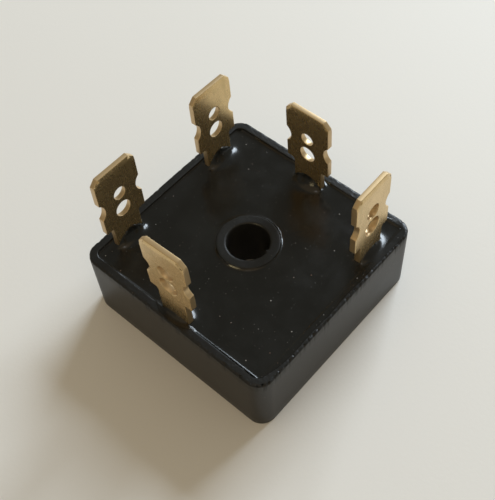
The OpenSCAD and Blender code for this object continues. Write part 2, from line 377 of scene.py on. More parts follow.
@dataclass(frozen=True)
class BladeBrass:
    """Rolled brass strip, stamped, with a thin even tarnish."""

    bright: Colour = (0.75, 0.545, 0.275)
    dull: Colour = (0.6, 0.445, 0.215)
    torn: Colour = (0.56, 0.41, 0.24)
    slot: str = "blade_brass"

    def build(self) -> bpy.types.Material:
        """Makes the material.

        Returns:
            The material.
        """
        g = Graph(self.slot)
        at = g.place()
        lines = g.grain(g.place((1.0, 1.0, 0.04)), 0.08, 4.0, 0.6)
        broad = g.grain(g.place((1.0, 1.0, 0.16)), 0.6, 3.0, 0.5, 0.3)
        stain = g.grain(at, 1.7, 4.0, 0.6, 0.8)
        fleck = g.specks(at, 0.6, 0.06, 0.2)
        tarnish = (stain.ramp(0.38, 0.72) * 0.55 + broad.ramp(0.4, 0.7) * 0.3).least(1.0)
        colour = g.mix(tarnish, self.bright, self.dull)
        colour = g.mix(fleck * 0.6, colour, (0.3, 0.2, 0.11))
        facing = g.axis(g.node("ShaderNodeTexCoord", out="Normal"), "Y")
        sheared = abs(facing).ramp(0.75, 0.4)
        tears = g.grain(g.place((1.0, 0.12, 1.0)), 0.12, 3.0, 0.6)
        colour = g.mix(sheared * 0.7, colour, self.torn)
        rough = 0.22 + 0.06 * lines + 0.07 * tarnish + 0.15 * fleck + 0.12 * sheared
        height = lines * 0.5 + broad * 0.5 + stain - fleck * 0.8 + tears * sheared * 2.5
        return g.finish(
            Base_Color=colour,
            Metallic=0.9 - 0.06 * tarnish - 0.12 * sheared,
            Roughness=rough,
            Normal=g.bump(height, 0.0013 * MM),
        )


@dataclass(frozen=True)
class RolledMetal:
    """Metal with rolling lines along one axis: base plate, buses."""

    slot: str
    bright: Colour
    dull: Colour
    roughness: float = 0.34
    lay: Point3 = (0.04, 1.0, 1.0)

    def build(self) -> bpy.types.Material:
        """Makes the material.

        Returns:
            The material.
        """
        g = Graph(self.slot)
        at = g.place()
        lines = g.grain(g.place(self.lay), 0.08, 4.0, 0.6)
        stain = g.grain(at, 4.0, 4.0, 0.55, 0.8)
        nick = g.specks(at, 2.2, 0.09, 0.2)
        share = (stain.ramp(0.35, 0.75) * 0.7 + lines * 0.3).least(1.0)
        colour = g.mix(nick * 0.5, g.mix(share, self.bright, self.dull), self.dull)
        return g.finish(
            Base_Color=colour,
            Metallic=1.0,
            Roughness=self.roughness + 0.12 * lines + 0.1 * nick,
            Normal=g.bump(lines + stain * 0.8 - nick * 2.0, 0.003 * MM),
        )


@dataclass(frozen=True)
class FiredCeramic:
    """White alumina sheet with a fine tooth."""

    slot: str = "ceramic"
    body: Colour = (0.82, 0.8, 0.74)

    def build(self) -> bpy.types.Material:
        """Makes the material.

        Returns:
            The material.
        """
        g = Graph(self.slot)
        at = g.place()
        tooth = g.grain(at, 0.12, 3.0, 0.6)
        cloud = g.grain(at, 3.0, 3.0, 0.5)
        colour = g.mix(cloud * 0.5, self.body, (0.7, 0.68, 0.62))
        return g.finish(
            Base_Color=colour, Roughness=0.48 + 0.12 * tooth, Normal=g.bump(tooth, 0.005 * MM)
        )


@dataclass(frozen=True)
class MetallisedSilicon:
    """Dark grey silicon die with thin evaporated metal."""

    slot: str = "silicon"
    body: Colour = (0.3, 0.31, 0.35)

    def build(self) -> bpy.types.Material:
        """Makes the material.

        Returns:
            The material.
        """
        g = Graph(self.slot)
        at = g.place()
        haze = g.grain(at, 0.8, 3.0, 0.5)
        colour = g.mix(haze.ramp(0.3, 0.7), self.body, (0.42, 0.42, 0.44))
        return g.finish(
            Base_Color=colour, Metallic=0.85, Roughness=0.2 + 0.12 * haze,
            Normal=g.bump(haze, 0.002 * MM),
        )


@dataclass(frozen=True)
class ReflowedSolder:
    """Grey solder with a frosty, lumpy skin."""

    slot: str = "solder"
    body: Colour = (0.6, 0.61, 0.62)

    def build(self) -> bpy.types.Material:
        """Makes the material.

        Returns:
            The material.
        """
        g = Graph(self.slot)
        at = g.place()
        frost = g.grain(at, 0.2, 4.0, 0.6)
        lump = g.grain(at, 1.2, 2.0, 0.5)
        colour = g.mix(frost.ramp(0.4, 0.7), self.body, (0.42, 0.42, 0.43))
        return g.finish(
            Base_Color=colour, Metallic=1.0, Roughness=0.36 + 0.16 * frost,
            Normal=g.bump(frost * 0.5 + lump, 0.012 * MM),
        )


@dataclass(frozen=True)
class PaleFloor:
    """Plain matte floor, off-white."""

    name: str = "pale_floor"
    body: Colour = (0.8, 0.78, 0.735)

    def build(self) -> bpy.types.Material:
        """Makes the material.

        Returns:
            The material.
        """
        g = Graph(self.name)
        at = g.place()
        cloud = g.grain(at, 90.0, 2.0, 0.5)
        tooth = g.grain(at, 0.5, 3.0, 0.6)
        colour = g.mix(cloud * 0.35, self.body, (0.77, 0.745, 0.69))
        return g.finish(
            Base_Color=colour, Roughness=0.62 + 0.06 * tooth, Normal=g.bump(tooth, 0.01 * MM)
        )


class Wardrobe:
    """All finishes, each made once and found by its slot."""

    def __init__(self) -> None:
        """Makes every material of the part."""
        made = (
            CasePlastic(), PottingResin(), BladeBrass(), FiredCeramic(),
            MetallisedSilicon(), ReflowedSolder(),
            RolledMetal("plate_metal", (0.8, 0.79, 0.77), (0.62, 0.61, 0.59)),
            RolledMetal("copper", (0.86, 0.52, 0.36), (0.66, 0.36, 0.24), 0.3, (1.0, 0.05, 1.0)),
        )
        self.finishes = {finish.slot: finish.build() for finish in made}

    def dress(self, piece: bpy.types.Object, slot: str) -> None:
        """Puts the slot's material on a piece, in all its material slots.

        Args:
            piece: The object to dress.
            slot: Name of the finish.
        """
        if not piece.material_slots:
            piece.data.materials.append(None)
        for place in piece.material_slots:
            place.material = self.finishes[slot]


# ---------------------------------------------------------------- mesh work


class Shell:
    """Vertices and faces that grow ring by ring, then become one object."""

    def __init__(self) -> None:
        """Starts with nothing."""
        self.points: list[np.ndarray] = []
        self.faces: list[tuple[int, ...]] = []
        self.count = 0

    def ring(self, points: np.ndarray) -> int:
        """Adds a ring of points.

        Args:
            points: The points, one per row.

        Returns:
            The number of the first.
        """
        first = self.count
        self.points.append(np.asarray(points, float))
        self.count += len(points)
        return first

    def bridge(self, first: int, second: int, size: int) -> None:
        """Joins two closed rings of one size with quads.

        Args:
            first: Number of the first ring's first point.
            second: The same for the second ring.
            size: Points in each ring.
        """
        for k in range(size):
            n = (k + 1) % size
            self.faces.append((first + k, first + n, second + n, second + k))

    def loft(self, rings: Sequence[np.ndarray], closed: bool = False) -> list[int]:
        """Adds rings of one size and joins each to the next.

        Args:
            rings: The rings, in order.
            closed: Whether the last ring is joined to the first.

        Returns:
            The number of the first point of each ring.
        """
        starts = [self.ring(r) for r in rings]
        size = len(rings[0])
        pairs = list(zip(starts, starts[1:]))
        if closed:
            pairs.append((starts[-1], starts[0]))
        for first, second in pairs:
            self.bridge(first, second, size)
        return starts

    def build(self, name: str, smooth_angle: float = 40.0) -> bpy.types.Object:
        """Makes the object.

        Args:
            name: Name of the object and its mesh.
            smooth_angle: Edges sharper than this many degrees stay sharp.

        Returns:
            The object, linked to the scene.
        """
        mesh = bpy.data.meshes.new(name)
        mesh.from_pydata(np.vstack(self.points).tolist(), [], self.faces)
        mesh.validate()
        piece = bpy.data.objects.new(name, mesh)
        bpy.context.scene.collection.objects.link(piece)
        outward(piece)
        mesh.shade_smooth()
        mesh.set_sharp_from_angle(angle=math.radians(smooth_angle))
        return piece


def outward(piece: bpy.types.Object) -> None:
    """Turns a closed mesh so that its faces look outwards.

    Args:
        piece: The object whose mesh is turned.
    """
    work = bmesh.new()
    work.from_mesh(piece.data)
    bmesh.ops.recalc_face_normals(work, faces=work.faces)
    if work.calc_volume(signed=True) < 0:
        bmesh.ops.reverse_faces(work, faces=work.faces)
    work.to_mesh(piece.data)
    work.free()


def rounded_square(half: float, radius: float, along: int, turn: int) -> np.ndarray:
    """Outline of a square with rounded corners.

    Args:
        half: Half of the square's side.
        radius: Radius of its corners.
        along: Steps along each side.
        turn: Steps round each corner.

    Returns:
        One x, y row per point, the same number for every size, anticlockwise.
    """
    core = half - radius
    rows: list[Point2] = []
    for quarter in range(4):
        a = math.pi / 2 * quarter
        c, s = math.cos(a), math.sin(a)
        for k in range(along):
            y = -core + 2 * core * k / along
            rows.append((half * c - y * s, half * s + y * c))
        for k in range(turn):
            b = a + math.pi / 2 * k / turn
            x, y = core * (c - s), core * (s + c)
            rows.append((x + radius * math.cos(b), y + radius * math.sin(b)))
    return np.array(rows)


def raised(outline: np.ndarray, z: float | np.ndarray) -> np.ndarray:
    """Gives each point of an outline its height."""
    return np.column_stack([outline, np.broadcast_to(z, len(outline))])


def circle(radius: float, z: float, steps: int) -> np.ndarray:
    """Ring of points on a level."""
    a = np.linspace(0, 2 * math.pi, steps, endpoint=False)
    return np.column_stack([radius * np.cos(a), radius * np.sin(a), np.full(steps, z)])


def ease(x: np.ndarray | float, low: float, high: float) -> np.ndarray:
    """Smooth step from 0 at low to 1 at high."""
    t = np.clip((np.asarray(x, float) - low) / (high - low), 0.0, 1.0)
    return t * t * (3 - 2 * t)


def ripple(x: np.ndarray, y: np.ndarray, seed: int, waves: int = 7) -> np.ndarray:
    """Soft random height.

    Args:
        x: Coordinates in units of the longest wave.
        y: Coordinates in the same units.
        seed: Fixes the waves.
        waves: Number of waves that are added.

    Returns:
        Heights between about -1 and 1.
    """
    luck = np.random.default_rng(seed)
    total = np.zeros(np.broadcast(x, y).shape)
    weight = 0.0
    for k in range(waves):
        pace = 1.0 + 0.6 * k
        a = luck.uniform(0, 2 * math.pi)
        total += np.sin(pace * 2 * math.pi * (x * math.cos(a) + y * math.sin(a))
                        + luck.uniform(0, 6.28)) / pace
        weight += 1 / pace
    return total / weight * 1.6


# ---------------------------------------------------------------- case


@dataclass
class Case:
    """Moulded case: frame, boss and webs in one piece."""

    half: float = 14.25 * MM
    height: float = 10.0 * MM
    corner: float = 2.0 * MM
    rim: float = 1.1 * MM
    rim_round: float = 0.25 * MM
    foot_round: float = 0.1 * MM
    edge_break: float = 0.12 * MM
    ledge_t: float = 0.8 * MM
    ledge_w: float = 0.5 * MM
    plate_t: float = 2.0 * MM
    bore: float = 2.65 * MM
    bore_lead: float = 0.15 * MM
    boss: float = 3.925 * MM
    web_t: float = 1.4 * MM
    web_low: float = 5.5 * MM
    web_high: float = 8.5 * MM
    boss_steps: int = 168
    flash_share: float = 0.05
    along: int = 220
    turn: int = 20

    @property
    def cavity(self) -> float:
        """Half the width of the cavity."""
        return self.half - self.rim

    @property
    def cavity_corner(self) -> float:
        """Radius of the cavity's corners."""
        return max(self.corner - self.rim, 0.4 * MM)

    def outline(self, inset: float) -> np.ndarray:
        """Outline that lies inset from the outer wall."""
        radius = max(self.corner - inset, self.cavity_corner)
        return rounded_square(self.half - inset, radius, self.along, self.turn)

    def _wall_section(self) -> list[Point2]:
        """Section of the wall as inset and height, from the seat round to the seat.

        Returns:
            One pair of inset and height for each ring.
        """
        pi = math.pi
        rows: list[Point2] = []
        r = self.foot_round
        for k in range(4):
            a = pi / 2 * k / 3
            rows.append((r * (1 - math.sin(a)), r * (1 - math.cos(a))))
        low, high = r, self.height - self.rim_round
        rows += [(0.0, low + (high - low) * k / 8) for k in range(1, 9)]
        r = self.rim_round
        for k in range(1, 7):
            a = pi / 2 * k / 6
            rows.append((r * (1 - math.cos(a)), self.height - r * (1 - math.sin(a))))
        r = self.edge_break
        start, end = self.rim_round, self.rim - r
        rows += [(start + (end - start) * k / 8, self.height) for k in range(1, 9)]
        for k in range(1, 5):
            a = pi / 2 * k / 4
            rows.append((self.rim - r + r * math.sin(a), self.height - r * (1 - math.cos(a))))
        rows += [(self.rim, z * MM) for z in (9.4, 8.6, 5.4, 2.2)]
        rows += [(self.rim, self.ledge_t), (self.rim + self.ledge_w, self.ledge_t),
                 (self.rim + self.ledge_w, 0.05 * MM), (self.rim + self.ledge_w - 0.05 * MM, 0.0)]
        return rows

    def _roughen(self, inset: float, ring: np.ndarray, salt: int) -> np.ndarray:
        """Leaves the rim a little uneven, as it comes from the mould.

        Args:
            inset: Distance of the ring from the outer wall.
            ring: Points of the ring.
            salt: Makes each ring's unevenness its own.

        Returns:
            The moved points.
        """
        out = ring.copy()
        near = float(ease(ring[0, 2], self.height - 0.5 * MM, self.height - 0.05 * MM))
        if near == 0.0:
            return out
        x, y = ring[:, 0] / MM, ring[:, 1] / MM
        wave = ripple(x / 9, y / 9, 5) * 0.012 + ripple(x / 1.7, y / 1.7, 9) * 0.008
        luck = np.random.default_rng(100 + salt)
        grit = luck.normal(0, 0.008, len(ring))
        edge = float(ease(ring[0, 2], self.height - 0.35 * MM, self.height - 0.05 * MM))
        edge *= 1.0 - float(ease(inset, 0.18 * MM, 0.36 * MM))
        chips = self._chips(x, y) * edge
        flash = np.where(luck.random(len(ring)) < self.flash_share, luck.uniform(0.02, 0.09, len(ring)), 0)
        flash *= edge * (inset > 0.1 * MM) * (0.3 + 0.7 * ease(x, 9, 13))
        out[:, 2] += ((wave * 0.6 - 0.012 + grit) * near - chips * 0.7 + flash) * MM
        pull = 1 - (0.6 * np.abs(wave) * near + chips) * MM / self.half
        out[:, 0] *= pull
        out[:, 1] *= pull
        return out

    @staticmethod
    def _chips(x: np.ndarray, y: np.ndarray) -> np.ndarray:
        """Depth of the chips along the rim's outer edge, in millimetres.

        Args:
            x: Places along X in millimetres.
            y: Places along Y in millimetres.

        Returns:
            One depth per place.
        """
        coarse = ripple(x / 2.3, y / 2.3, 41)
        fine = ripple(x / 0.7, y / 0.7, 43)
        worn = 0.55 + 0.45 * ease(x, 9, 13) - 0.2 * ease(y, 11, 13.5)
        depth = 0.04 * np.clip(coarse + 0.2, 0, 1) + 0.15 * np.clip(fine + 0.4 * coarse - 0.15, 0, 1)
        return depth * worn

    def _frame(self) -> Shell:
        """Closed wall of the case.

        Returns:
            The wall as one closed shell.
        """
        shell = Shell()
        rings = []
        for salt, (inset, z) in enumerate(self._wall_section()):
            rings.append(self._roughen(inset, raised(self.outline(inset), z), salt))
        shell.loft(rings, closed=True)
        return shell

    def _boss(self) -> Shell:
        """Tube round the screw bore, standing on the plate, its mouth countersunk.

        Returns:
            The tube as one closed shell.
        """
        steps = self.boss_steps
        r = self.edge_break
        top = self.height - 0.01 * MM
        section: list[Point2] = [(self.boss, self.plate_t), (self.boss, 6 * MM),
                                 (self.boss, top - 0.5 * MM)]
        for k in range(5):
            a = math.pi / 2 * k / 4
            section.append((self.boss - r * (1 - math.cos(a)), top - r * (1 - math.sin(a))))
        mouth = self.bore + self.bore_lead
        section += [(self.boss - r - (self.boss - r - mouth) * k / 5, top) for k in (1, 2, 3, 4)]
        section += [(mouth + 0.02 * MM, top), (mouth - 0.02 * MM, top - 0.02 * MM),
                    (self.bore + 0.01 * MM, top - self.bore_lead + 0.01 * MM),
                    (self.bore, top - self.bore_lead - 0.02 * MM)]
        section += [(self.bore, z * MM) for z in (8.5, 6.0, 4.0)]
        section += [(self.bore, self.plate_t)]
        luck = np.random.default_rng(4)
        shell = Shell()
        rings = []
        for radius, z in section:
            ring = circle(radius, z, steps)
            if abs(radius - mouth) < 0.05 * MM:
                burr = np.exp(-((np.arctan2(ring[:, 1], ring[:, 0]) - 0.15) / 0.05) ** 2)
                ring[:, :2] *= 1 - 0.09 * burr[:, None]
                ring[:, 2] += 0.05 * MM * burr
            if z > self.height - 0.3 * MM:
                ring[:, 2] += (luck.normal(0, 0.003, steps)
                               + ripple(ring[:, 0] / MM / 5, ring[:, 1] / MM / 5, 12) * 0.01) * MM
            rings.append(ring)
        shell.loft(rings, closed=True)
        return shell

    def _webs(self) -> Shell:
        """Four webs from the corners to the boss.

        Returns:
            The webs, each one closed.
        """
        shell = Shell()
        start = self.boss - 0.3 * MM
        end = self.cavity * math.sqrt(2) - self.cavity_corner * (math.sqrt(2) - 1) + 0.3 * MM
        for corner in range(4):
            a = math.radians(45 + 90 * corner)
            along, across = np.array([math.cos(a), math.sin(a)]), np.array([-math.sin(a), math.cos(a)])
            rings = []
            for reach in (start, end):
                ring = []
                for side, z in ((-1, self.web_low), (1, self.web_low), (1, self.web_high),
                                (-1, self.web_high)):
                    x, y = along * reach + across * side * self.web_t / 2
                    ring.append((x, y, z))
                rings.append(np.array(ring))
            first, last = shell.loft(rings)
            shell.faces.append((first + 3, first + 2, first + 1, first))
            shell.faces.append((last, last + 1, last + 2, last + 3))
        return shell

    def build(self, wardrobe: Wardrobe) -> bpy.types.Object:
        """Makes the case as one solid.

        Args:
            wardrobe: The finishes.

        Returns:
            The case.
        """
        body = self._frame().build("case_body")
        for name, shell in (("case_boss", self._boss()), ("case_webs", self._webs())):
            tool = shell.build(name)
            join = body.modifiers.new("join", "BOOLEAN")
            join.operation = "UNION"
            join.solver = "EXACT"
            join.object = tool
            settle(body)
            bpy.data.objects.remove(tool)
        body.data.set_sharp_from_angle(angle=math.radians(40))
        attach(body, "root")
        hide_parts("case_frame")
        wardrobe.dress(body, "case_plastic")
        return body


def settle(piece: bpy.types.Object) -> None:
    """Applies a piece's modifiers to its mesh.

    Args:
        piece: The object that carries them.
    """
    graph = bpy.context.evaluated_depsgraph_get()
    mesh = bpy.data.meshes.new_from_object(piece.evaluated_get(graph))
    old = piece.data
    piece.modifiers.clear()
    piece.data = mesh
    mesh.name = old.name
    bpy.data.meshes.remove(old)


# ---------------------------------------------------------------- blades


class Side(Enum):
    """Side of the case, as the turn in degrees that brings +Y to it."""

    BACK = 0.0
    LEFT = 90.0
    FRONT = 180.0
    RIGHT = -90.0


class Foot(Enum):
    """What a blade's foot lies on."""

    OUTER_BUS = "outer bus"
    INNER_BUS = "inner bus"
    DICE = "dice"


@dataclass(frozen=True)
class Seat:
    """Where a blade stands, and how hand soldering left it.

    Twist, lean and cant are in degrees, with a positive lean towards the middle. The place
    along the side, the shifts and the lift are in metres. The clip names the side on which
    the foot is widened to reach its inner die: -1, 1, or 0 for neither.
    """

    node: str
    side: Side
    along: float
    foot: Foot
    shift: Point2
    twist: float
    lean: float
    cant: float
    lift: float
    clip: int = 0

    def matrix(self, out: float) -> Matrix:
        """Place of the blade, whose own origin lies on the seating face."""
        turn = Matrix.Rotation(math.radians(self.side.value), 4, "Z")
        return turn @ Matrix.Translation((self.along + self.shift[0], out + self.shift[1], 0))


@dataclass(frozen=True)
class BladeForm:
    """Sizes that the five blades share, in millimetres.

    The notch, the two holes and the shoulder are measured down from the tip. The set, clip
    and die heights are measured up from the seating face. The taper is how much wider the
    radius of a hole is at the outer face.
    """

    width: float = 6.35
    thick: float = 0.8
    rise: float = 13.45
    set_z: float = 8.5
    chamfer: float = 0.75
    bevel: float = 0.7
    corner_bevel: float = 0.42
    tip: float = 0.64
    notch_z: float = 5.15
    notch_r: float = 1.56
    notch_depth: float = 0.68
    detent_z: float = 4.29
    detent_r: float = 0.875
    wire_z: float = 6.95
    wire_r: float = 1.1
    taper: float = 0.19
    shoulder_z: float = 9.0
    stem: float = 4.15
    fillet: float = 0.35
    bend: float = 0.5
    inset: float = 2.25
    case_half: float = 14.25
    clip_z: float = 3.73
    die_z: float = 3.33
    outer_stop: float = 8.865
    inner_stop: float = 5.094
    clip_out: float = 7.694
    front_round: float = 0.09
    back_round: float = 0.05
    step: float = 0.14

    def out(self) -> float:
        """Distance of a blade's middle plane from the middle of the case."""
        return self.case_half - self.inset


class Blade:
    """One stamped blade with its stem, bend and foot."""

    def __init__(self, seat: Seat, form: BladeForm) -> None:
        """Works out the lengths of this blade's strip, in millimetres.

        Args:
            seat: Where the blade stands.
            form: The sizes that all blades share.
        """
        self.seat = seat
        self.form = form
        self.rise = form.rise + seat.lift / MM
        self.foot_z = form.clip_z if seat.foot is Foot.DICE else form.die_z
        stop = form.outer_stop if seat.foot is Foot.OUTER_BUS else form.inner_stop
        self.reach = form.out() + seat.shift[1] / MM - stop
        self.drop = form.set_z - self.foot_z - form.bend - form.thick
        self.arc = math.pi / 2 * (form.bend + form.thick / 2)
        self.tail = self.drop + self.arc + self.reach - form.thick / 2 - form.bend

    def _outline(self) -> list[Point2]:
        """Flat pattern of the strip, anticlockwise, with its foot at the bottom.

        Returns:
            The corners of the pattern in millimetres.
        """
        f = self.form
        half, stem = f.width / 2, f.stem / 2
        shoulder = self.rise - f.shoulder_z
        notch = self.rise - f.notch_z
        side: list[Point2] = [(stem, -self.tail), (stem, shoulder - f.fillet)]
        for k in range(1, 7):
            a = math.pi / 2 * k / 6
            side.append((stem + f.fillet * (1 - math.cos(a)),
                         shoulder - f.fillet * (1 - math.sin(a))))
        side += [(half - 0.1, shoulder), (half - 0.03, shoulder + 0.03), (half, shoulder + 0.1)]
        open_angle = math.acos((f.notch_r - f.notch_depth) / f.notch_r)
        middle = half + f.notch_r - f.notch_depth
        for k in range(15):
            a = math.pi + open_angle * (1 - 2 * k / 14)
            side.append((middle + f.notch_r * math.cos(a), notch + f.notch_r * math.sin(a)))
        side += [(half, self.rise - f.chamfer), (half - f.chamfer, self.rise)]
        other = [(-x, y) for x, y in reversed(side)]
        pattern = side + other
        if self.seat.clip:
            pattern = self._with_clip(pattern)
        return pattern

    def _with_clip(self, pattern: list[Point2]) -> list[Point2]:
        """Adds the widening that carries a corner blade's foot over its inner die.

        Args:
            pattern: Corners of the plain strip.

        Returns:
            Corners of the widened strip.
        """
        f = self.form
        start = -(self.tail - (f.clip_out - f.inner_stop))
        wide = abs(self.seat.along / MM + self.seat.shift[0] / MM) - f.inner_stop
        edge = f.stem / 2
        if self.seat.clip > 0:
            return [(wide, -self.tail), (wide, start), (edge, start)] + pattern[1:]
        return pattern[:-1] + [(-edge, start), (-wide, start), (-wide, -self.tail)]

    @staticmethod
    def _divide(loop: list[Point2], step: float) -> np.ndarray:
        """Splits the sides of a loop into steps no longer than step.

        Args:
            loop: Corners of the loop.
            step: Longest step.

        Returns:
            The points of the divided loop.
        """
        rows: list[Point2] = []
        for (x0, y0), (x1, y1) in zip(loop, loop[1:] + loop[:1]):
            parts = max(1, math.ceil(math.hypot(x1 - x0, y1 - y0) / step))
            rows += [(x0 + (x1 - x0) * k / parts, y0 + (y1 - y0) * k / parts)
                     for k in range(parts)]
        return np.array(rows)

    @staticmethod
    def _inset(loop: np.ndarray, depth: float) -> np.ndarray:
        """Moves a loop to its left by depth, mitred at its corners.

        Args:
            loop: Points of the loop.
            depth: How far it moves.

        Returns:
            The moved points.
        """
        before, after = np.roll(loop, 1, axis=0), np.roll(loop, -1, axis=0)

        def left(a: np.ndarray, b: np.ndarray) -> np.ndarray:
            """Unit normals to the left of the steps from a to b.

            Args:
                a: Starts of the steps.
                b: Their ends.

            Returns:
                One normal per step.
            """
            d = b - a
            d /= np.linalg.norm(d, axis=1, keepdims=True)
            return np.column_stack([-d[:, 1], d[:, 0]])

        n0, n1 = left(before, loop), left(loop, after)
        joint = n0 + n1
        joint /= np.maximum(np.sum(joint * joint, axis=1, keepdims=True) / 2, 0.35)
        return loop + joint * depth

    def _half_thickness(self, flat: np.ndarray) -> np.ndarray:
        """Half the strip's thickness, coined down towards the tip's three edges.

        Args:
            flat: Points on the flat pattern.

        Returns:
            One half thickness per point.
        """
        f = self.form
        half = f.width / 2
        x, y = np.abs(flat[:, 0]), flat[:, 1]
        top = self.rise - y
        corner = (half - x + self.rise - y - f.chamfer) / math.sqrt(2)
        near = np.clip(np.minimum(top / f.bevel, corner / f.corner_bevel), 0, 1)
        return f.tip / 2 + (f.thick - f.tip) / 2 * near

    def _bent(self, flat: np.ndarray, lift: np.ndarray) -> np.ndarray:
        """Bends the flat pattern, then leans its upper part as it was set by hand.

        Args:
            flat: Points on the flat pattern.
            lift: Distance of each point from the strip's middle plane, outwards.

        Returns:
            Points in the blade's own axes, in metres.
        """
        f = self.form
        w = flat[:, 1]
        down = -w - self.drop
        radius = f.bend + f.thick / 2
        angle = np.clip(down / radius, 0, math.pi / 2)
        straight = np.maximum(down - self.arc, 0)
        above = np.maximum(w, -self.drop)
        out = -radius * (1 - np.cos(angle)) - straight + lift * np.cos(angle)
        up = f.set_z + above - radius * np.sin(angle) - lift * np.sin(angle)
        points = np.column_stack([flat[:, 0], out, up])
        pivot = np.array([0, 0, f.set_z])
        s = self.seat
        set_by_hand = (
            Matrix.Rotation(math.radians(s.twist), 3, "Z")
            @ Matrix.Rotation(math.radians(s.lean), 3, "X")
            @ Matrix.Rotation(math.radians(s.cant), 3, "Y")
        )
        leaned = (points - pivot) @ np.array(set_by_hand).T + pivot
        share = ease(w, -0.35, 0.35)[:, None]
        return (points * (1 - share) + leaned * share) * MM

    def _skin(self, loops: list[np.ndarray]) -> tuple[np.ndarray, list[tuple[int, ...]]]:
        """Triangles that fill the flat face inside its loops.

        Args:
            loops: The outer loop and the holes' loops.

        Returns:
            The points, which start with those of the loops, and the triangles.
        """
        f = self.form
        edges: list[tuple[int, int]] = []
        first = 0
        for loop in loops:
            n = len(loop)
            edges += [(first + k, first + (k + 1) % n) for k in range(n)]
            first += n
        rim = np.vstack(loops)
        low, high = rim.min(0), rim.max(0)
        xs = np.arange(low[0] + 0.2, high[0] - 0.1, 0.36)
        ys = np.arange(low[1] + 0.2, high[1] - 0.1, 0.3)
        grid = np.array([(x, y) for y in ys for x in xs])
        half, ch, bev = f.width / 2, f.chamfer, f.bevel
        slant = f.corner_bevel * math.sqrt(2)
        x0, y0 = half - ch + bev - slant, self.rise - bev
        x1, y1 = half - 0.1, self.rise - ch - slant + 0.1
        creases = []
        for off in (-0.035, 0.035):
            for x in np.linspace(-x0 + 0.06, x0 - 0.06, 42):
                creases.append((x, y0 + off))
            for side in (-1, 1):
                for t in np.linspace(0.0, 1.0, 12):
                    x, y = x0 + (x1 - x0) * t + off * 0.7, y0 + (y1 - y0) * t + off * 0.7
                    creases.append((side * x, y))
        creases = np.array(creases)

        def clear(points: np.ndarray, others: np.ndarray, gap: float) -> np.ndarray:
            """Keeps the points that lie at least gap from all others.

            Args:
                points: Points as x, y rows.
                others: Points to keep clear of.
                gap: Least distance.

            Returns:
                The points that stay.
            """
            far = np.min(np.hypot(points[:, None, 0] - others[None, :, 0],
                                  points[:, None, 1] - others[None, :, 1]), axis=1)
            return points[far > gap]

        creases = clear(creases, rim, 0.05)
        grid = clear(clear(grid, rim, 0.12), creases, 0.1)
        grid = grid[inside(grid, loops)]
        every = np.vstack([rim, creases[inside(creases, loops)], grid])
        cdt = delaunay_2d_cdt([Vector(p) for p in every], edges, [], 0, 1e-6)
        points = np.array([(p.x, p.y) for p in cdt[0]])
        triangles = np.array([tuple(t) for t in cdt[2] if len(t) == 3])
        centres = points[triangles].mean(axis=1)
        triangles = triangles[inside(centres, loops)]
        order = {}
        for new, olds in enumerate(cdt[3]):
            for old in olds:
                order[old] = new
        ranks = np.full(len(points), -1)
        for old in range(len(rim)):
            ranks[order[old]] = old
        spare = len(rim)
        for new in range(len(points)):
            if ranks[new] < 0:
                ranks[new] = spare
                spare += 1
        placed = np.zeros((spare, 2))
        placed[ranks] = points
        placed[: len(rim)] = rim
        return placed, [tuple(ranks[list(t)]) for t in triangles]

    def build(self, wardrobe: Wardrobe) -> bpy.types.Object:
        """Makes the blade.

        Args:
            wardrobe: The finishes.

        Returns:
            The blade, in its place.
        """
        f = self.form
        outer = self._divide(self._outline(), f.step)
        holes = []
        for z, radius in ((f.detent_z, f.detent_r), (f.wire_z, f.wire_r)):
            a = -np.linspace(0, 2 * math.pi, 48, endpoint=False)
            holes.append(np.column_stack([radius * np.cos(a), self.rise - z + radius * np.sin(a)]))
        shell = Shell()
        rings: list[list[int]] = [[] for _ in range(len(holes) + 1)]
        faces = []
        for face, (sign, e) in enumerate(((1, f.front_round), (-1, f.back_round))):
            punched = [self._inset(hole, f.taper) if sign > 0 else hole for hole in holes]
            loops = [outer] + punched
            inner = [self._inset(loop, e + 0.05) for loop in loops]
            flat, triangles = self._skin(inner)
            thick = self._half_thickness(flat)
            base = shell.ring(self._bent(flat, sign * thick))
            faces += [tuple(base + i for i in (t if sign < 0 else t[::-1])) for t in triangles]
            start = base
            turned = []
            for number, loop in enumerate(loops):
                rows = [start]
                start += len(loop)
                for k in (0, 1, 2, 3):
                    a = math.pi / 2 * k / 3
                    edge = self._inset(loop, e * (1 - math.sin(a)))
                    level = self._half_thickness(loop) - e * (1 - math.cos(a))
                    rows.append(shell.ring(self._bent(edge, sign * level)))
                turned.append(rows)
            for number, rows in enumerate(turned):
                rings[number] += rows if face == 0 else rows[::-1]
        for loop, rows in zip([outer] + holes, rings):
            for first, second in zip(rows, rows[1:]):
                shell.bridge(first, second, len(loop))
        shell.faces += faces
        piece = shell.build("blade_" + self.seat.node.removeprefix("terminal_"), 32.0)
        piece.matrix_world = self.seat.matrix(f.out() * MM)
        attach(piece, "root")
        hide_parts(self.seat.node)
        wardrobe.dress(piece, "blade_brass")
        return piece


def inside(points: np.ndarray, loops: Sequence[np.ndarray]) -> np.ndarray:
    """Tells which points lie inside the first loop and outside the others.

    Args:
        points: Points as x, y rows.
        loops: The outer loop and the loops of the holes.

    Returns:
        One truth value per point.
    """
    odd = np.zeros(len(points), bool)
    for loop in loops:
        x0, y0 = loop[:, 0], loop[:, 1]
        x1, y1 = np.roll(x0, -1), np.roll(y0, -1)
        py = points[:, 1][:, None]
        crosses = (y0 > py) != (y1 > py)
        rise = np.where(y1 == y0, 1e-12, y1 - y0)
        meets = x0 + (py - y0) / rise * (x1 - x0)
        odd ^= (np.sum(crosses & (points[:, 0][:, None] < meets), axis=1) % 2).astype(bool)
    return odd


# ---------------------------------------------------------------- epoxy


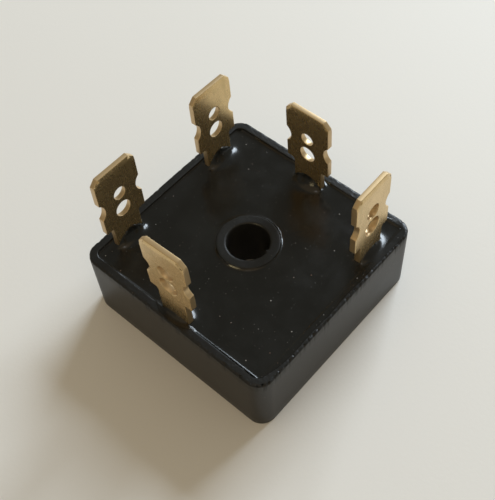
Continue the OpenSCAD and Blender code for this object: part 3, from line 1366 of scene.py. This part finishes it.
@dataclass(frozen=True)
class Climb:
    """Slopes at which the epoxy meets a blade's two faces and its two edges."""

    inner: float
    outer: float
    left: float
    right: float


class Pool:
    """Resting surface of a wetting liquid round fixed things, on a square grid in millimetres.

    The height over the level obeys the capillary equation. It is fixed along the shore and
    has a given slope where it meets a blade. That slope fades by FADE from the middle of a
    face to its ends, and is marked up to BESIDE from the blade. STEP is the grid's pitch,
    HALF half its width and CAPILLARY the capillary length. SWEEPS passes over the grid, each
    pushed on by OVER, bring the surface to rest, and FILLS more carry it under the blades.
    """

    STEP = 0.1
    HALF = 14.3
    CAPILLARY = 0.62
    SWEEPS = 260
    OVER = 1.88
    BESIDE = 0.4
    FADE = 0.8
    FILLS = 6

    def __init__(self) -> None:
        """Lays the grid, in millimetres."""
        self.count = int(2 * self.HALF / self.STEP) + 1
        line = np.linspace(-self.HALF, self.HALF, self.count)
        self.x, self.y = np.meshgrid(line, line, indexing="ij")
        self.fixed = np.zeros(self.x.shape, bool)
        self.blade = np.zeros(self.x.shape, bool)
        self.height = np.zeros(self.x.shape)
        self.slope = np.zeros(self.x.shape)

    def pin(self, where: np.ndarray, height: np.ndarray | float) -> None:
        """Fixes the height at the marked points."""
        self.fixed |= where
        self.height = np.where(where, height, self.height)

    def stand(self, u: np.ndarray, v: np.ndarray, half_w: float, half_t: float, climb: Climb) -> None:
        """Stands a blade in the pool.

        Args:
            u: Each point's place along the blade's width.
            v: Each point's place across it, outwards.
            half_w: Half its width.
            half_t: Half its thickness.
            climb: Slopes at which the liquid meets it.
        """
        self.blade |= (np.abs(u) < half_w) & (np.abs(v) < half_t)
        near = (np.abs(u) < half_w + self.BESIDE) & (np.abs(v) < half_t + self.BESIDE)
        ends = np.where(u < 0, climb.left, climb.right)
        faces = np.where(v < 0, climb.inner, climb.outer)
        faces = faces * (1 - self.FADE * np.minimum(np.abs(u) / half_w, 1) ** 2)
        beside = np.abs(u) - half_w > np.abs(v) - half_t
        self.slope = np.where(near, np.where(beside, ends, faces), self.slope)

    @staticmethod
    def _around(values: np.ndarray) -> np.ndarray:
        """Sum over the four neighbours of every point.

        Args:
            values: Values on the grid.

        Returns:
            The sums on the same grid.
        """
        total = np.zeros(values.shape)
        for axis in (0, 1):
            for way in (-1, 1):
                total += np.roll(values, way, axis=axis)
        return total

    def settle(self) -> None:
        """Lets the surface come to rest."""
        wall = self._around(self.blade.astype(float))
        share = 4 - wall + (self.STEP / self.CAPILLARY) ** 2
        push = wall * self.slope * self.STEP
        free = ~self.fixed & ~self.blade
        i, j = np.indices(free.shape)
        for sweep in range(2 * self.SWEEPS):
            target = (self._around(np.where(self.blade, 0.0, self.height)) + push) / share
            now = free & ((i + j + sweep) % 2 == 0)
            self.height = np.where(now, self.height + self.OVER * (target - self.height), self.height)
        for _ in range(self.FILLS):
            known = self.blade & (self.height == 0)
            count = self._around(np.where(known, 0.0, 1.0))
            mean = self._around(np.where(known, 0.0, self.height)) / np.maximum(count, 1)
            self.height = np.where(known & (count > 0), mean, self.height)

    def at(self, x: np.ndarray, y: np.ndarray) -> np.ndarray:
        """Height at any places, read between the grid's points.

        Args:
            x: Places along X in millimetres.
            y: Places along Y in millimetres.

        Returns:
            One height per place.
        """
        i = np.clip((x + self.HALF) / self.STEP, 0, self.count - 1.001)
        j = np.clip((y + self.HALF) / self.STEP, 0, self.count - 1.001)
        a, b = i.astype(int), j.astype(int)
        p, q = i - a, j - b
        h = self.height
        return ((1 - p) * (1 - q) * h[a, b] + p * (1 - q) * h[a + 1, b]
                + (1 - p) * q * h[a, b + 1] + p * q * h[a + 1, b + 1])


@dataclass
class Potting:
    """Poured epoxy: level in the middle, drawn up blades and walls, over the rim in places.

    Its own sizes are in millimetres, and the tilt is a slope along X.
    """

    case: Case
    seats: Sequence[Seat]
    climbs: Sequence[Climb]
    form: BladeForm
    level: float = 9.7
    tilt: float = 0.012
    low: float = 2.0
    film: float = 0.06
    fillet_w: float = 0.1
    boss_fillet: float = 0.2
    shore_fillet: float = 0.17
    along: int = 190
    turn: int = 12
    rings: int = 96

    def _spill(self, x: np.ndarray, y: np.ndarray) -> np.ndarray:
        """How far the epoxy spreads over the rim from a place on the cavity's edge, in mm.

        Args:
            x: Places along X.
            y: Places along Y.

        Returns:
            One width of spill per place.
        """
        right = ease(x, 12.3, 13.1) * ease(y, -13.1, -9.5)
        uneven = 0.66 + 0.08 * ripple(x / 6, y / 6, 21)
        near_blade = 0.16 * np.exp(-((y - 9.5) / 4.0) ** 2)
        corner = ease(y, 12.0, 13.1) * ease(x, 9.0, 12.8) * 0.6
        front = ease(y, -12.9, -13.1) * np.exp(-(((x - 0.2) / 2.5) ** 4)) * 0.84
        return np.clip(np.maximum(right * (uneven + near_blade), corner) + front, 0, 0.86)

    def _ground(self, x: np.ndarray, y: np.ndarray) -> np.ndarray:
        """Level of the poured epoxy away from everything that it climbs, in mm."""
        return self.level + self.tilt * x + 0.012 * ripple(x / 14, y / 14, 3)

    def _pool(self) -> Pool:
        """Solves the surface round the blades, the boss and the shore.

        Returns:
            The pool at rest.
        """
        f, c = self.form, self.case
        pool = Pool()
        x, y = pool.x, pool.y
        ground = self._ground(x, y)
        half, corner = c.cavity / MM, c.cavity_corner / MM
        core = half - corner
        nx, ny = np.clip(x, -core, core), np.clip(y, -core, core)
        away = np.hypot(x - nx, y - ny)
        out = away - corner
        scale = corner / np.maximum(away, 1e-6)
        spill = self._spill(nx + (x - nx) * scale, ny + (y - ny) * scale)
        wet = ease(spill, 0.02, 0.3)
        dry_shore = ground + 0.06
        wet_shore = c.height / MM + self.film * 0.4
        pool.pin(out >= spill - 0.02, dry_shore * (1 - wet) + wet_shore * wet - ground)
        radius = np.hypot(x, y)
        pool.pin(radius < c.boss / MM + 0.05, 0.03)
        for seat, climb in zip(self.seats, self.climbs):
            place = np.array(seat.matrix(f.out() * MM).inverted())
            flat = np.stack([x, y, np.zeros_like(x), np.full_like(x, 1 / MM)], axis=-1) @ place.T
            rise = self.level + 0.6 - f.set_z
            u = flat[..., 0] - math.tan(math.radians(seat.cant)) * rise
            v = flat[..., 1] + math.tan(math.radians(seat.lean)) * rise
            twist = math.radians(seat.twist)
            u, v = (u * math.cos(twist) + v * math.sin(twist),
                    v * math.cos(twist) - u * math.sin(twist))
            pool.stand(u, v, f.stem / 2, f.thick / 2, climb)
        pool.settle()
        return pool

    def _surface(self, boundary: np.ndarray, edge: np.ndarray, spill: np.ndarray) -> list[np.ndarray]:
        """Rings of the upper surface, from the boss to the boundary.

        Args:
            boundary: Outer end of the epoxy in plan.
            edge: Cavity's edge in plan, point by point with the boundary.
            spill: Distance between the two.

        Returns:
            Rings of points in metres.
        """
        boss = self.case.boss / MM
        angle = np.arctan2(edge[:, 1], edge[:, 0])
        start = boss * np.column_stack([np.cos(angle), np.sin(angle)])
        rim_z = self.case.height / MM
        half = self.case.cavity / MM
        pool = self._pool()
        rings = []
        for k in range(self.rings + 1):
            t = k / self.rings
            flat = start * (1 - t) + boundary * t
            x, y = flat[:, 0], flat[:, 1]
            inward = half - np.maximum(np.abs(x), np.abs(y))
            over, gap = np.clip(-inward, 0, None), np.clip(inward, 0, None)
            z = self._ground(x, y) + pool.at(x, y)
            z = z + self.boss_fillet * np.exp(-(np.hypot(x, y) - boss) / self.fillet_w)
            z = z + self.shore_fillet * np.exp(-gap / self.fillet_w) * ease(spill, 0.1, 0.0)
            left = np.clip((spill - over) / np.maximum(spill, 1e-3), 0, 1)
            coat = rim_z - 0.012 + self.film * np.sqrt(np.clip(1 - (1 - left) ** 2, 0, 1))
            coat = coat - 0.9 * gap
            wet = ease(spill, 0.0, 0.15)
            lifted = 0.5 * (z + coat + np.sqrt((z - coat) ** 2 + 0.0016)) - 0.008
            z = z * (1 - wet) + lifted * wet
            rings.append(np.column_stack([flat, z]) * MM)
        return rings

    def build(self, wardrobe: Wardrobe) -> bpy.types.Object:
        """Makes the epoxy.

        Args:
            wardrobe: The finishes.

        Returns:
            The epoxy.
        """
        c = self.case
        edge = rounded_square(c.cavity / MM - 0.003, c.cavity_corner / MM, self.along, self.turn)
        spill = self._spill(edge[:, 0], edge[:, 1])
        away = np.roll(edge, -1, axis=0) - np.roll(edge, 1, axis=0)
        away /= np.linalg.norm(away, axis=1, keepdims=True)
        normal = np.column_stack([away[:, 1], -away[:, 0]])
        boundary = edge + normal * spill[:, None]
        rings = self._surface(boundary, edge, spill)
        top = rings[-1][:, 2]
        under = np.minimum(top - 0.02 * MM, c.height - 0.03 * MM)
        rings.append(raised(boundary * MM, under))
        rings.append(raised(edge * MM, under - 0.03 * MM))
        rings.append(raised(edge * MM, 6.0 * MM))
        rings.append(raised(edge * MM, self.low * MM))
        angle = np.arctan2(edge[:, 1], edge[:, 0])
        hole = c.boss * np.column_stack([np.cos(angle), np.sin(angle)])
        rings.append(raised(hole, self.low * MM))
        rings.append(raised(hole, 6.0 * MM))
        shell = Shell()
        shell.loft(rings, closed=True)
        piece = shell.build("potting", 60.0)
        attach(piece, "root")
        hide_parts("potting_epoxy")
        wardrobe.dress(piece, "epoxy")
        return piece


# ---------------------------------------------------------------- room


def towards(azimuth: float, elevation: float) -> Vector:
    """Unit vector from the part towards a direction in degrees.

    Args:
        azimuth: Turn about +Z, from -Y towards +X.
        elevation: Height over the floor.

    Returns:
        The direction.
    """
    a, e = math.radians(azimuth), math.radians(elevation)
    return Vector((math.sin(a) * math.cos(e), -math.cos(a) * math.cos(e), math.sin(e)))


@dataclass(frozen=True)
class Lamp:
    """A soft rectangular light aimed at the part."""

    name: str
    azimuth: float
    elevation: float
    distance: float
    width: float
    height: float
    power: float
    colour: Colour = (1.0, 1.0, 1.0)

    def build(self) -> None:
        """Hangs the light."""
        way = towards(self.azimuth, self.elevation)
        light = bpy.data.lights.new(self.name, "AREA")
        light.shape = "RECTANGLE"
        light.size, light.size_y = self.width, self.height
        light.energy = self.power
        light.color = self.colour
        lamp = bpy.data.objects.new(self.name, light)
        lamp.location = way * self.distance
        lamp.rotation_euler = way.to_track_quat("Z", "Y").to_euler()
        bpy.context.scene.collection.objects.link(lamp)


@dataclass(frozen=True)
class Room:
    """Floor, daylight and camera."""

    sky: Colour = (0.28, 0.26, 0.21)
    sky_strength: float = 1.0
    floor_half: float = 1.5
    azimuth: float = 45.606
    elevation: float = 55.888
    roll: float = -5.2265
    lens: float = 64.06
    sensor: float = 36.0
    stand: Point3 = (43.527 * MM, -42.875 * MM, 98.327 * MM)

    def build(self) -> None:
        """Makes the floor, the lights and the camera."""
        self._floor()
        self._sky()
        for lamp in (
            Lamp("window", 187.0, 31.0, 0.8, 0.44, 0.32, 6.9, (0.88, 1.0, 1.12)),
            Lamp("warm_ceiling", 20.0, 62.0, 1.4, 2.0, 1.6, 3.6, (1.0, 0.66, 0.3)),
            Lamp("ceiling_lamp", 35.0, 74.0, 1.0, 0.08, 0.08, 0.2),
        ):
            lamp.build()
        self._camera()
        bpy.context.scene.view_settings.view_transform = "Standard"

    def _floor(self) -> None:
        """Lays the floor just under the seating face."""
        shell = Shell()
        h = self.floor_half
        shell.ring(np.array([(-h, -h, 0), (h, -h, 0), (h, h, 0), (-h, h, 0)]) - (0, 0, 1e-5))
        shell.faces.append((0, 1, 2, 3))
        mesh = bpy.data.meshes.new("floor")
        mesh.from_pydata(np.vstack(shell.points).tolist(), [], shell.faces)
        floor = bpy.data.objects.new("floor", mesh)
        bpy.context.scene.collection.objects.link(floor)
        floor.data.materials.append(PaleFloor().build())

    def _sky(self) -> None:
        """Fills the room with even light."""
        world = bpy.data.worlds.new("room")
        world.use_nodes = True
        back = world.node_tree.nodes["Background"]
        back.inputs["Color"].default_value = (*self.sky, 1.0)
        back.inputs["Strength"].default_value = self.sky_strength
        bpy.context.scene.world = world

    def _camera(self) -> None:
        """Stands the camera over the front corner."""
        back = towards(self.azimuth, self.elevation)
        data = bpy.data.cameras.new("camera")
        data.lens = self.lens
        data.sensor_width = self.sensor
        data.clip_start, data.clip_end = 0.005, 10.0
        camera = bpy.data.objects.new("camera", data)
        camera.location = Vector(self.stand)
        turn = back.to_track_quat("Z", "Y") @ Quaternion((0, 0, 1), math.radians(self.roll))
        camera.rotation_mode = "QUATERNION"
        camera.rotation_quaternion = turn
        bpy.context.scene.collection.objects.link(camera)
        bpy.context.scene.camera = camera


# ---------------------------------------------------------------- whole part


class Rectifier:
    """The whole part: its pieces in order, and the nodes that keep their solids."""

    SLOTS = {
        "base_plate": "plate_metal", "base_solder": "solder", "ceramic_insulator": "ceramic",
        "positive_bus": "copper", "negative_bus": "copper", "die_solder_lower": "solder",
        "die_solder_upper": "solder", "foot_solder": "solder",
    }
    SEATS = (
        Seat("terminal_positive", Side.LEFT, -8 * MM, Foot.OUTER_BUS, (-0.35 * MM, 0.2 * MM),
             1.0, -2.1, 1.6, 0.05 * MM),
        Seat("terminal_negative", Side.FRONT, 0.0, Foot.INNER_BUS, (-0.3 * MM, 0.55 * MM),
             1.3, -0.8, 0.6, 1.09 * MM),
        Seat("terminal_ac_a", Side.LEFT, 8 * MM, Foot.DICE, (-0.3 * MM, -0.05 * MM),
             0.0, -2.7, 1.3, 0.0, -1),
        Seat("terminal_ac_b", Side.BACK, 0.0, Foot.DICE, (-0.2 * MM, 0.05 * MM),
             -0.9, 0.4, -1.0, 0.2 * MM),
        Seat("terminal_ac_c", Side.RIGHT, -8 * MM, Foot.DICE, (0.0, -0.15 * MM),
             1.1, 1.1, -0.3, 0.1 * MM, 1),
    )
    CLIMBS = (
        Climb(inner=3.2, outer=2.2, left=0.35, right=0.3),
        Climb(inner=1.7, outer=1.0, left=0.35, right=0.25),
        Climb(inner=3.4, outer=2.2, left=0.35, right=0.3),
        Climb(inner=3.0, outer=2.2, left=0.35, right=0.3),
        Climb(inner=2.2, outer=1.8, left=1.0, right=0.3),
    )

    def __init__(self) -> None:
        """Makes the finishes."""
        self.wardrobe = Wardrobe()

    def build(self) -> None:
        """Builds and dresses every piece, and reports each."""
        case = Case()
        form = BladeForm()
        self._report(case.build(self.wardrobe))
        self._report(Potting(case, self.SEATS, self.CLIMBS, form).build(self.wardrobe))
        for seat in self.SEATS:
            self._report(Blade(seat, form).build(self.wardrobe))
        for name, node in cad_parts.items():
            if name.startswith("diode_"):
                self.wardrobe.dress(node, "silicon")
            elif name in self.SLOTS:
                self.wardrobe.dress(node, self.SLOTS[name])

    @staticmethod
    def _report(piece: bpy.types.Object) -> None:
        """Logs a piece's name and size."""
        piece.data.calc_loop_triangles()
        LOG.info("%s: %d triangles", piece.name, len(piece.data.loop_triangles))


def main() -> None:
    """Builds the part and its room."""
    logging.basicConfig(level=logging.INFO, format="%(message)s", stream=sys.stdout)
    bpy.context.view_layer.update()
    Room().build()
    Rectifier().build()


if __name__ == "__main__":
    main()
